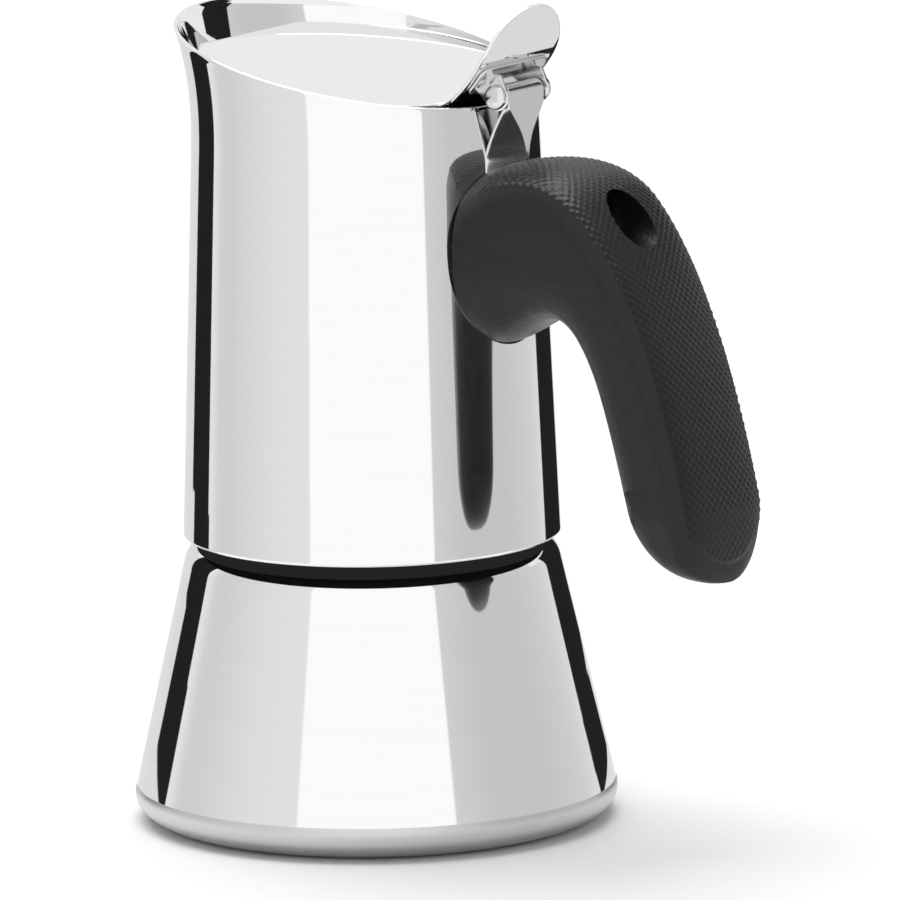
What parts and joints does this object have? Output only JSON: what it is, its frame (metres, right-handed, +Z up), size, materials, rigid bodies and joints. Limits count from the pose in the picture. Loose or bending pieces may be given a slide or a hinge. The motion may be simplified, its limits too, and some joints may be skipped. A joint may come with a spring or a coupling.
{
  "type": "moka pot",
  "caption": "Stovetop moka pot: conical steel boiler, screw-on collector with a pouring spout, hinged lid with a thumb tab and a moulded hanging handle.",
  "frame": {"origin": "centre of the base's flat underside, on the floor", "axes": "+Z up along the pot's axis, +X towards the handle, the spout at -X, the safety valve at +Y"},
  "size_m": [0.1249, 0.0931, 0.1534],
  "materials": {
    "polished_steel": "mirror polished stainless steel",
    "satin_steel": "plain stainless steel",
    "base_steel": "satin stainless steel",
    "spreader": "cast disc",
    "brass": "turned brass",
    "seal_red": "matt silicone",
    "gasket_rubber": "matt silicone",
    "zinc": "zinc plated",
    "handle_plastic": "satin moulded thermoset"
  },
  "bodies": {
    "boiler": {"boiler_shell": "polished_steel", "base_cap": "base_steel", "heat_spreader": "spreader", "valve_body": "brass", "valve_seal": "seal_red", "valve_nut": "brass", "valve_cap": "brass", "valve_spring": "satin_steel", "funnel": "satin_steel", "funnel_screen": "satin_steel"},
    "valve": {"valve_plunger": "brass"},
    "seal": {"gasket": "gasket_rubber", "filter_plate": "satin_steel"},
    "collector": {"collector_shell": "polished_steel", "collector_base": "satin_steel", "coffee_column": "satin_steel", "column_cap": "satin_steel", "hinge_bracket": "satin_steel", "handle": "handle_plastic", "handle_bush": "zinc", "handle_screw": "zinc", "handle_washer": "zinc"},
    "lid": {"lid": "polished_steel", "lid_leaf": "satin_steel", "hinge_pin": "polished_steel"}
  },
  "joints": [
    {"name": "collector_lift", "type": "slide", "parent": "boiler", "child": "seal", "axis": [0, 0, 1], "range_m": [0, 0.00525]},
    {"name": "collector_turn", "type": "hinge", "parent": "seal", "child": "collector", "pos_m": [0, 0, 0.06], "axis": [0, 0, 1], "range_deg": [0, 540]},
    {"name": "lid_hinge", "type": "hinge", "parent": "collector", "child": "lid", "pos_m": [0.03459, 0, 0.13692], "axis": [0, 1, 0], "range_deg": [0, 105]},
    {"name": "valve_lift", "type": "slide", "parent": "boiler", "child": "valve", "axis": [0, 0.9726, 0.2325], "range_m": [0, 0.0015], "stiffness_N_per_m": 800, "springref_m": -0.004, "deforming": ["valve_spring"]}
  ],
  "couplings": [
    {"joint": "collector_lift", "follows": "collector_turn", "m_per_rad": 0.00055704}
  ]
}
